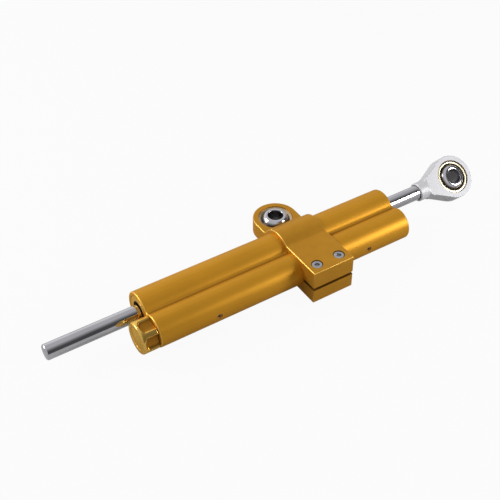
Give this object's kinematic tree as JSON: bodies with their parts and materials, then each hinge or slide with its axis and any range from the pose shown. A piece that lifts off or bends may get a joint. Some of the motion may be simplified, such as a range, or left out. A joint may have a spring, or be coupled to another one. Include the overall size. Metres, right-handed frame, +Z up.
{
  "type": "motorcycle steering damper",
  "caption": "Linear motorcycle steering damper: chrome through-rod in a gold twin-barrel body, pinch clamp with a bearing eye, silver rod end and a click-adjust valve knob.",
  "frame": {"origin": "centre of the clamp eye's ball bore, at mid thickness of the eye", "axes": "+X along the rod towards the rod end, +Z up along the clamp eye's bore, +Y from the barrels towards the clamp eye"},
  "size_m": [0.2564, 0.0644, 0.0248],
  "materials": {
    "gold": "gold anodised, satin",
    "guide_gold": "gold anodised, turned",
    "rod_chrome": "hard chrome, polished",
    "bearing_chrome": "polished bearing steel",
    "rod_end_silver": "silver anodised, satin",
    "liner_bronze": "pale bronze, turned",
    "race_steel": "turned steel",
    "screw_steel": "stainless",
    "spring_steel": "phosphated spring steel",
    "turned_steel": "turned steel",
    "valve_brass": "turned brass",
    "seal_rubber": "black rubber",
    "ring_plastic": "filled PTFE"
  },
  "bodies": {
    "barrel": {"barrel_body": "gold", "left_rod_guide": "guide_gold", "right_rod_guide": "guide_gold", "rod_bushes": "liner_bronze", "rod_seals": "seal_rubber", "rod_wipers": "seal_rubber", "guide_o_rings": "seal_rubber", "guide_circlips": "spring_steel", "dust_caps": "gold", "port_plugs": "screw_steel", "valve_housing": "valve_brass", "valve_seat": "turned_steel", "valve_o_ring": "seal_rubber", "spindle_o_ring": "seal_rubber", "detent_ball": "spring_steel", "detent_spring": "spring_steel", "compensator_spring": "spring_steel", "end_plug": "guide_gold", "end_plug_o_ring": "seal_rubber", "end_plug_circlip": "spring_steel"},
    "compensator": {"compensator_piston": "turned_steel", "compensator_o_ring": "seal_rubber"},
    "knob": {"adjuster_knob": "gold", "adjuster_spindle": "turned_steel", "knob_grub_screw": "screw_steel"},
    "needle": {"needle": "turned_steel"},
    "piston_ring": {"piston_ring": "ring_plastic"},
    "rod": {"piston_rod": "rod_chrome", "piston": "turned_steel", "piston_circlips": "spring_steel", "rod_end_housing": "rod_end_silver"},
    "rod_end_race": {"rod_end_race": "liner_bronze"},
    "rod_end_ball": {"rod_end_ball": "bearing_chrome"},
    "clamp": {"clamp_block": "gold", "clamp_screws": "screw_steel"},
    "clamp_race": {"clamp_race": "race_steel"},
    "clamp_ball": {"clamp_ball": "bearing_chrome"}
  },
  "joints": [
    {"name": "clamp_slide", "type": "slide", "parent": "barrel", "child": "clamp", "axis": [1, 0, 0], "range_m": [-0.079, 0.043]},
    {"name": "clamp_race_spin", "type": "hinge", "parent": "clamp", "child": "clamp_race", "pos_m": [0, 0, 0], "axis": [0, 0, 1], "continuous": true},
    {"name": "clamp_ball_tilt", "type": "hinge", "parent": "clamp_race", "child": "clamp_ball", "pos_m": [0, 0, 0], "axis": [1, 0, 0], "range_deg": [-12, 12]},
    {"name": "rod_slide", "type": "slide", "parent": "barrel", "child": "piston_ring", "axis": [1, 0, 0], "range_m": [-0.0228, 0.0503]},
    {"name": "rod_spin", "type": "hinge", "parent": "piston_ring", "child": "rod", "pos_m": [0, -0.02, 0], "axis": [1, 0, 0], "continuous": true},
    {"name": "rod_end_race_spin", "type": "hinge", "parent": "rod", "child": "rod_end_race", "pos_m": [0.1037, -0.02, 0], "axis": [0, -0.6428, 0.766], "continuous": true},
    {"name": "rod_end_ball_tilt", "type": "hinge", "parent": "rod_end_race", "child": "rod_end_ball", "pos_m": [0.1037, -0.02, 0], "axis": [1, 0, 0], "range_deg": [-12, 12]},
    {"name": "knob_turn", "type": "hinge", "parent": "barrel", "child": "knob", "pos_m": [-0.0967, -0.035, 0], "axis": [1, 0, 0], "range_deg": [0, 720]},
    {"name": "needle_slide", "type": "slide", "parent": "barrel", "child": "needle", "axis": [1, 0, 0], "range_m": [0, 0.0014]},
    {"name": "compensator_slide", "type": "slide", "parent": "barrel", "child": "compensator", "axis": [1, 0, 0], "range_m": [-0.0015, 0.003], "stiffness_N_per_m": 2000, "deforming": ["compensator_spring"]}
  ],
  "couplings": [
    {"joint": "knob_turn", "follows": "needle_slide", "rad_per_m": 8976}
  ]
}
